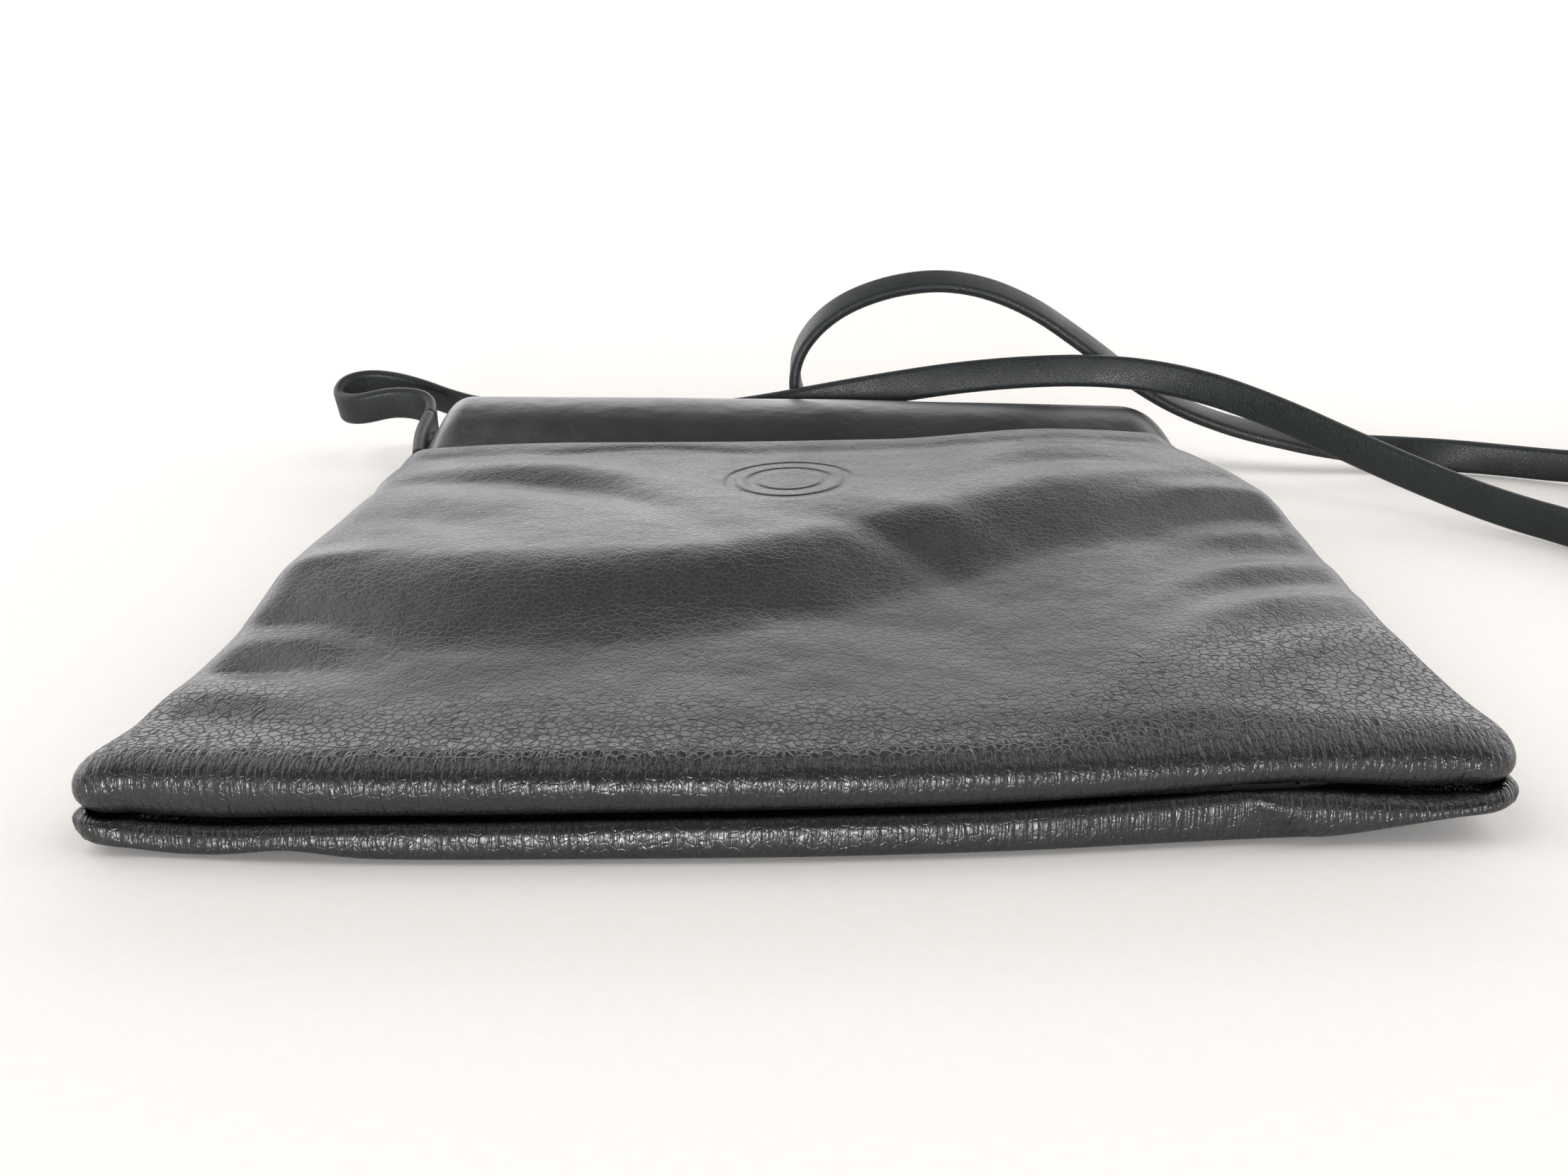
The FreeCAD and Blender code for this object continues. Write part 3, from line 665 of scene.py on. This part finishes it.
def spline_points(route):
    """Points along the smooth curve that has the route as its control points."""
    curve = bpy.data.curves.new("strap_line", "CURVE")
    curve.dimensions = "3D"
    curve.resolution_u = 8
    spline = curve.splines.new("NURBS")
    spline.points.add(len(route) - 1)
    for knot, (place, _) in zip(spline.points, route):
        knot.co = (place[0] * MM, place[1] * MM, place[2] * MM, 1)
    spline.order_u = 3
    spline.use_endpoint_u = True
    holder = link_object("strap_line", curve)
    bpy.context.view_layer.update()
    line = bpy.data.meshes.new_from_object(holder.evaluated_get(bpy.context.evaluated_depsgraph_get()))
    points = np.array([v.co for v in line.vertices])
    bpy.data.objects.remove(holder)
    bpy.data.meshes.remove(line)
    return points / MM


def width_directions(route, count):
    """The strap's width direction at each point of the curve, blended between the route's points."""
    places = np.linspace(0, len(route) - 2, count) + 0.5
    places[0] = 0
    places[-1] = len(route) - 1
    given = np.array([np.array(width, float) / np.linalg.norm(width) for _, width in route])
    return np.stack([np.interp(places, range(len(route)), given[:, axis]) for axis in range(3)], axis=1)


def strap_section():
    """Half-round edged rectangle, as (across the width, through the thickness)."""
    half_width = STRAP_WIDTH / 2
    half_thick = STRAP_THICKNESS / 2
    section = []
    for centre_w, centre_t, start in ((1, 1, 0), (-1, 1, 90), (-1, -1, 180), (1, -1, 270)):
        for turn in (0, 30, 60, 90):
            angle = math.radians(start + turn)
            section.append((centre_w * (half_width - STRAP_EDGE) + STRAP_EDGE * math.cos(angle),
                            centre_t * (half_thick - STRAP_EDGE) + STRAP_EDGE * math.sin(angle)))
    return section


def flat_strap(name, route):
    """A flat strap that follows a route, closed at both ends, and the line it follows."""
    line = spline_points(route)
    heading = np.gradient(line, axis=0)
    heading /= np.linalg.norm(heading, axis=1, keepdims=True)
    width = width_directions(route, len(line))
    width -= heading * np.sum(width * heading, axis=1, keepdims=True)
    width /= np.linalg.norm(width, axis=1, keepdims=True)
    through_strap = np.cross(heading, width)
    section = strap_section()
    count = len(section)
    points = np.array([line + width * w + through_strap * t for w, t in section]).transpose(1, 0, 2)
    along = np.concatenate([[0], np.cumsum(np.linalg.norm(np.diff(line, axis=0), axis=1))])
    uvs = [(along[i], j) for i in range(len(line)) for j in range(count)]
    faces = []
    for i in range(len(line) - 1):
        for j in range(count):
            a = i * count + j
            b = i * count + (j + 1) % count
            faces.append((a, a + count, b + count, b))
    faces.append(tuple(range(count)))
    faces.append(tuple(range(len(line) * count - 1, (len(line) - 1) * count - 1, -1)))
    piece = mesh_piece(name, points.reshape(-1, 3), faces, uvs)
    return piece, line


whole_route = LEFT_ROUTE + coil_route() + RIGHT_ROUTE[::-1]
neck_strap, strap_line = flat_strap("neck_strap", whole_route)
dress(neck_strap, STRAP_LEATHER, "pouch")
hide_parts("strap_left_run", "strap_right_run", "strap_coil")
strap_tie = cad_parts["strap_tie"]
strap_tie.data.materials.clear()
strap_tie.data.materials.append(ELASTIC)

LEFT_END = [((-65.4, 44.0, 6.6), (0, -0.17, 1)), ((-66.6, 49.0, 7.5), (0, -0.17, 1)),
            ((-67.4, 55.0, 8.5), (0, -0.17, 1)), ((-67.6, 60.3, 9.3), ON_EDGE)]
RIGHT_END = [((61.0, 44.0, 5.2), (0, -0.17, 1)), ((61.6, 49.0, 5.3), (0, -0.17, 1)),
             ((63.0, 54.5, 5.8), (0, -0.17, 1)), ((64.4, 59.0, 6.4), ON_EDGE)]
for end_name, end_route in (("left_strap_end_piece", LEFT_END), ("right_strap_end_piece", RIGHT_END)):
    end_piece, _ = flat_strap(end_name, end_route)
    dress(end_piece, STRAP_LEATHER, "pouch")
    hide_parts(end_name.replace("_piece", ""))


# ---------------------------------------------------------------- leather body

def fold_relief(x, y):
    """Height of the soft folds and dents at a place on the front."""
    relief = np.zeros_like(x)
    for fold_x, fold_y, direction, half_length, half_width, height in FOLDS:
        turn = math.radians(direction)
        along = (x - fold_x) * math.cos(turn) + (y - fold_y) * math.sin(turn)
        across = (y - fold_y) * math.cos(turn) - (x - fold_x) * math.sin(turn)
        across = across + 0.012 * along ** 2
        relief += height * np.exp(-(along / half_length) ** 2 - (across / half_width) ** 2)
    return relief


def seam_height(x, y):
    """Height of the seam line along the bottom edge and up the sides."""
    near = through(SEAM_HEIGHT, x)
    return near + (SIDE_SEAM_HEIGHT - near) * eased((y - SIDE_SEAM_START) / SIDE_SEAM_REACH)


def front_height(x, y):
    """Height of the front panel's skin inside its rolled edges."""
    past = y - through(RISE_LINE, x)
    behind = np.maximum(past - RISE_WIDTH / 2, 0)
    level = LOW_LEVEL + RISE * eased(past / RISE_WIDTH + 0.5) - FALL_BEHIND_RISE * behind
    swell = SWELL * eased((y - SWELL_START[1]) / SWELL_REACH[1])
    swell = swell * eased((x - SWELL_START[0]) / SWELL_REACH[0])
    level = level + swell + through(RIDGE, y)
    from_side = np.clip((np.abs(x) - SIDE_FALL_START[0]) / SIDE_FALL_REACH[0], 0, 1)
    fall = SIDE_FALL * from_side ** 2 * eased((y - SIDE_FALL_START[1]) / SIDE_FALL_REACH[1])
    settle = WAVE_HEIGHT * np.sin(x / WAVE_REACH[0] + WAVE_PHASE[0])
    settle = settle * np.sin(y / WAVE_REACH[1] + WAVE_PHASE[1])
    away = eased((y - FOLDS_START) / FOLDS_REACH)
    return level - fall + (fold_relief(x, y) + settle) * away


def corner_curl(out, near, height, start, reach):
    """How high a near corner of the underside curls; out and near are distances from the middle."""
    return height * eased((out - start[0]) / reach[0]) * eased((near - start[1]) / reach[1])


def back_height(x, y):
    """Height of the underside: on the table, with both near corners curling up."""
    left = corner_curl(-x, -y, *LEFT_CURL)
    right = corner_curl(x, -y, *RIGHT_CURL)
    tuck = TUCK * np.exp(-((x - TUCK_X) / TUCK_WIDTH) ** 2) * eased((-y - TUCK_START) / TUCK_REACH)
    return REST_GAP + left + right + tuck


def ring_insets(roll, box):
    """How far in from the bulge each ring of the border lies, and its share of the height."""
    share = np.linspace(0, 1, ROLL_RINGS + 1)
    inset = roll * (1 - roll_out(share, box))
    flat = np.linspace(roll, CORNER_RADIUS, CORNER_RINGS + 1)[1:]
    return np.concatenate([inset, flat]), np.concatenate([roll_up(share, box), np.ones(CORNER_RINGS)])


def body_skin(side, steps_across=150, steps_up=110):
    """The outer surface of the front (side 1) or the back (side -1) as a grid, with UVs and masks.

    Rings follow the seam round both near corners; inside them the grid is plain rows and columns."""
    rings = ROLL_RINGS + CORNER_RINGS
    columns = steps_across + 2 * rings
    rows = steps_up + rings
    i, j = np.meshgrid(np.arange(columns + 1), np.arange(rows + 1), indexing="ij")
    left, right, near = np.minimum(i, rings), np.minimum(columns - i, rings), np.minimum(j, rings)
    side_ring = np.minimum(left, right)
    ring = np.minimum(side_ring, near)
    box = FRONT_BOX if side > 0 else BACK_BOX
    near_inset, height_share = ring_insets(FRONT_ROLL if side > 0 else BACK_ROLL, box)
    side_inset, _ = ring_insets(SIDE_ROLL, box)

    past_ring = np.where(side_ring <= near, near - side_ring, side_ring - near) / np.maximum(rings - ring, 1)
    turn = np.where(side_ring <= near, 45 * (1 - past_ring), 45 * (1 + past_ring))
    turn = np.radians(np.where(ring == rings, 45, turn))
    ear = 1 + (EAR + SEAM_EAR * (1 - np.minimum(ring / ROLL_RINGS, 1)) ** 2) * np.sin(2 * turn) ** 2
    out_x = (CORNER_RADIUS - side_inset[ring]) * np.cos(turn) * ear
    out_y = (CORNER_RADIUS - near_inset[ring]) * np.sin(turn) * ear

    across = np.clip((i - rings) / steps_across, 0, 1)
    up = np.clip((j - rings) / steps_up, 0, 1)
    plain_x = -HALF_WIDTH + 2 * HALF_WIDTH * across
    edge_y = through(NEAR_EDGE, plain_x) + (0 if side > 0 else BACK_EDGE_STEP)
    y = edge_y + CORNER_RADIUS + up * (TOP_SEAM_Y - edge_y - CORNER_RADIUS) - out_y
    if side < 0:
        pleat = eased(0.5 + (plain_x - PLEAT_AT - PLEAT_SLANT * height_share[ring]) / PLEAT_SOFTNESS)
        y = y - BACK_LEAN * height_share[near] * (1 - up)
        y = y - PLEAT_STEP * pleat * (1 - up) * np.sin(np.pi * np.clip(height_share[ring] * 0.9 + 0.1, 0, 1))
    left_x = through(LEFT_EDGE, y) + CORNER_RADIUS
    right_x = through(RIGHT_EDGE, y) - CORNER_RADIUS
    x = left_x * (1 - across) + right_x * across
    x = x - np.where(i < rings, out_x, 0) + np.where(columns - i < rings, out_x, 0)

    seam = seam_height(x, y) + SEAM_GAP * side
    level = front_height(x, y) if side > 0 else back_height(x, y)
    z = seam + (level - seam) * height_share[ring]
    grid = np.stack([x, y, z], axis=2)
    uvs = np.stack([x, y - 3 * (1 - height_share[near])], axis=2)
    rolled = 1 - eased((y - edge_y - ROLL_MASK_START) / ROLL_MASK_REACH)
    off_roll = eased((y - edge_y - GRAIN_MASK_START) / GRAIN_MASK_REACH)
    grain = grain_share(x, y) * (GRAIN_ON_ROLL + (1 - GRAIN_ON_ROLL) * off_roll)
    return grid, uvs, rolled, grain


def grain_share(x, y):
    """How open the grain is: full along the bottom edge and its corners, and fine further up."""
    right = RIGHT_GRAIN * eased((x - RIGHT_GRAIN_START) / RIGHT_GRAIN_REACH)
    left = LEFT_GRAIN * eased((-x - LEFT_GRAIN_START) / LEFT_GRAIN_REACH)
    open_grain = 1 - eased((y - GRAIN_FRONT_Y - right - left) / GRAIN_FADE)
    return FINE_GRAIN + (1 - FINE_GRAIN) * open_grain


def bend_with_lip(piece):
    """Bakes the piece's placement into its mesh and leaves the piece unbent."""
    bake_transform(piece)


def inner_part(grid, uvs, margin):
    """The grid without its rolled borders."""
    return grid[margin:-margin, margin:], uvs[margin:-margin, margin:]


def make_body():
    front, front_uvs, front_rolled, front_grain = body_skin(1)
    piece = shell_piece("front_leather", front, (0, LEATHER_THICKNESS), front_uvs)
    point_attribute(piece, "roll", np.concatenate([front_rolled.ravel()] * 2))
    point_attribute(piece, "grain", np.concatenate([front_grain.ravel()] * 2))
    dress(piece, NAPPA_FRONT)
    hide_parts("front_panel", "front_panel_top")
    bend_with_lip(piece)

    back, back_uvs, back_rolled, back_grain = body_skin(-1)
    piece = shell_piece("back_leather", back, (0, LEATHER_THICKNESS), back_uvs, flip=True)
    point_attribute(piece, "roll", np.concatenate([back_rolled.ravel()] * 2))
    point_attribute(piece, "grain", np.concatenate([back_grain.ravel()] * 2))
    dress(piece, NAPPA, "pouch")
    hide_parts("back_panel")

    margin = ROLL_RINGS + CORNER_RINGS + 2
    for name, material, slot, depths, front_nodes, back_node in (
            ("wadding_sheet", WADDING, "wadding", WADDING_DEPTH,
             ("front_wadding", "front_wadding_top"), "back_wadding"),
            ("lining_sheet", LINING_CLOTH, "lining_cloth", LINING_DEPTH,
             ("front_lining", "front_lining_top"), "back_lining")):
        grid, uvs = inner_part(front, front_uvs, margin)
        piece = shell_piece("front_" + name, grid[::2, ::2], depths, uvs[::2, ::2])
        dress(piece, material)
        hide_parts(*front_nodes)
        bend_with_lip(piece)
        grid, uvs = inner_part(back, back_uvs, margin)
        piece = shell_piece("back_" + name, grid[::2, ::2], depths, uvs[::2, ::2], flip=True)
        dress(piece, material, "pouch")
        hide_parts(back_node)
    return front


def band_section(steps):
    """A flat stadium, seam edge to mouth and back: shares of the band's height and of its thickness."""
    top = [(share, 1) for share in np.linspace(0.04, 0.90, steps)]
    mouth = [(0.90 + 0.10 * math.sin(a), math.cos(a)) for a in np.linspace(0, math.pi, 12)[1:-1]]
    under = [(share, -1) for share in np.linspace(0.90, 0.04, steps)]
    seam = [(0.04 - 0.04 * math.sin(a), -math.cos(a)) for a in np.linspace(0, math.pi, 8)[1:-1]]
    return np.array(top + mouth + under + seam)


def mouth_band(name, low_line, high_line, droop, columns=120):
    """A closed leather band along the mouth, shorter and thinner at its ends.

    The lines give the middle of its thickness at the seam and at the mouth edge."""
    section = band_section(18)
    count = len(section)
    half = BAND_THICKNESS / 2
    points = []
    uvs = []
    for share in 0.5 - 0.5 * np.cos(np.linspace(0, math.pi, columns)):
        x = BAND_LEFT + share * (BAND_RIGHT - BAND_LEFT)
        end = min((x - BAND_LEFT) / LEFT_BAND_END, (BAND_RIGHT - x) / RIGHT_BAND_END, 1.0)
        slim = math.sqrt(max(1 - (1 - end) ** 2, 0.0))
        seam_y, seam_z = low_line(x)
        mouth_y, mouth_z = high_line(x)
        mouth_y = seam_y + (mouth_y - seam_y) * (0.80 + 0.20 * slim)
        for up, through_band in section:
            y = seam_y + (mouth_y - seam_y) * up
            belly = BAND_BELLY * math.sin(math.pi * min(up * 0.92, 1)) * slim * (1 if droop > 0 else 0)
            wall = through_band * half * (0.25 + 0.75 * slim)
            z = seam_z + (mouth_z - seam_z) * up + wall + belly * (1 + through_band) / 2
            z -= droop * (1 - slim)
            points.append((x, y, z))
            uvs.append((x, y))
    faces = []
    for i in range(columns - 1):
        for j in range(count):
            a = i * count + j
            b = i * count + (j + 1) % count
            faces.append((a, a + count, b + count, b))
    faces.append(tuple(range(count)))
    faces.append(tuple(range(columns * count - 1, (columns - 1) * count - 1, -1)))
    return mesh_piece(name, points, faces, uvs)


def front_band_low(x):
    return TOP_SEAM_Y - 0.5, BAND_START_Z - BAND_THICKNESS / 2


def front_band_high(x):
    ripple = 0.25 * math.sin(x / 11 + 1) + 0.15 * math.sin(x / 5.3)
    return MOUTH_Y + ripple, float(through(CREST_HEIGHT, x)) - BAND_THICKNESS / 2


def back_band_low(x):
    return TOP_SEAM_Y + 0.2, 0.4 + BAND_THICKNESS / 2


def back_band_high(x):
    mouth_y, front_z = front_band_high(x)
    return mouth_y - 0.6, front_z - BAND_THICKNESS - MOUTH_GAP - 0.5


def make_bands():
    front = mouth_band("front_mouth_band", front_band_low, front_band_high, BAND_DROOP)
    dress(front, NAPPA)
    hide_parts("front_casing")
    bend_with_lip(front)
    back = mouth_band("back_mouth_band", back_band_low, back_band_high, -BAND_DROOP * 0.2)
    dress(back, NAPPA, "pouch")
    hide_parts("back_casing")


def bent_copy(node, name, material):
    """A copy of a CAD node with its own material, shown in place of the hidden node."""
    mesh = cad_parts[node].data.copy()
    mesh.name = name
    piece = link_object(name, mesh)
    dress(piece, material)
    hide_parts(node)
    bend_with_lip(piece)


def strap_end_stitches():
    """The box stitches of both strap ends; the right ones move in with the right strap end."""
    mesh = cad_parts["strap_end_stitching"].data.copy()
    mesh.name = "strap_end_stitches"
    for vertex in mesh.vertices:
        if vertex.co.x > 0:
            vertex.co += Vector(RIGHT_STITCH_SHIFT) * MM
    piece = link_object("strap_end_stitches", mesh)
    dress(piece, THREAD, "pouch")
    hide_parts("strap_end_stitching")


def dress_node(node, material):
    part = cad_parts[node]
    part.data.materials.clear()
    part.data.materials.append(material)


front_skin = make_body()
make_bands()
bent_copy("front_spring_strip", "front_spring_strip_bent", STEEL)
bent_copy("front_casing_stitching", "front_casing_stitches_bent", THREAD)
for hidden in ("back_spring_strip", "left_frame_pin", "right_frame_pin"):
    dress_node(hidden, STEEL)
strap_end_stitches()
dress_node("back_casing_stitching", THREAD)


# ---------------------------------------------------------------- seam thread

def seam_stitches(skin):
    """Upright stitches in the groove between the two rolls, placed along the seam line."""
    seam = np.concatenate([skin[0, ::-1], skin[1:, 0], skin[-1, 1:]])
    seam = seam + (np.array([0, SEAM_MIDDLE_Y, seam[:, 2].mean()]) - seam) * np.array([*THREAD_INSET, 0])
    curve = bpy.data.curves.new("seam_line", "CURVE")
    curve.dimensions = "3D"
    spline = curve.splines.new("POLY")
    spline.points.add(len(seam) - 1)
    for knot, place in zip(spline.points, seam):
        knot.co = (*(place * MM), 1)
    holder = link_object("seam_line", curve)

    tree = bpy.data.node_groups.new("stitch_row", "GeometryNodeTree")
    face = tree.interface
    face.new_socket("Geometry", in_out="INPUT", socket_type="NodeSocketGeometry")
    pitch = face.new_socket("Pitch", in_out="INPUT", socket_type="NodeSocketFloat")
    thread = face.new_socket("Thread Diameter", in_out="INPUT", socket_type="NodeSocketFloat")
    face.new_socket("Geometry", in_out="OUTPUT", socket_type="NodeSocketGeometry")
    entry = add_node(tree, "NodeGroupInput")
    row = add_node(tree, "GeometryNodeCurveToPoints", {"mode": "LENGTH"}, Curve=entry.outputs["Geometry"],
                   Length=entry.outputs["Pitch"])
    radius = add_node(tree, "ShaderNodeMath", {"operation": "MULTIPLY"},
                      i0=entry.outputs["Thread Diameter"], i1=0.5)
    stitch = add_node(tree, "GeometryNodeMeshCylinder", Vertices=8, Radius=radius.outputs[0],
                      Depth=STITCH_LENGTH * MM)
    placed = add_node(tree, "GeometryNodeInstanceOnPoints", Points=row.outputs["Points"],
                      Instance=stitch.outputs["Mesh"])
    real = add_node(tree, "GeometryNodeRealizeInstances", Geometry=placed.outputs["Instances"])
    coloured = add_node(tree, "GeometryNodeSetMaterial", Geometry=real.outputs["Geometry"], Material=THREAD)
    leave = add_node(tree, "NodeGroupOutput")
    tree.links.new(coloured.outputs["Geometry"], leave.inputs[0])

    row_maker = holder.modifiers.new("stitch_row", "NODES")
    row_maker.node_group = tree
    row_maker[pitch.identifier] = STITCH_PITCH * MM
    row_maker[thread.identifier] = THREAD_DIAMETER * MM
    bpy.context.view_layer.update()
    shown = holder.evaluated_get(bpy.context.evaluated_depsgraph_get())
    mesh = bpy.data.meshes.new_from_object(shown)
    bpy.data.objects.remove(holder)
    piece = link_object("seam_thread", mesh)
    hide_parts("seam_stitching")
    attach(piece, "pouch")


seam_stitches(front_skin)
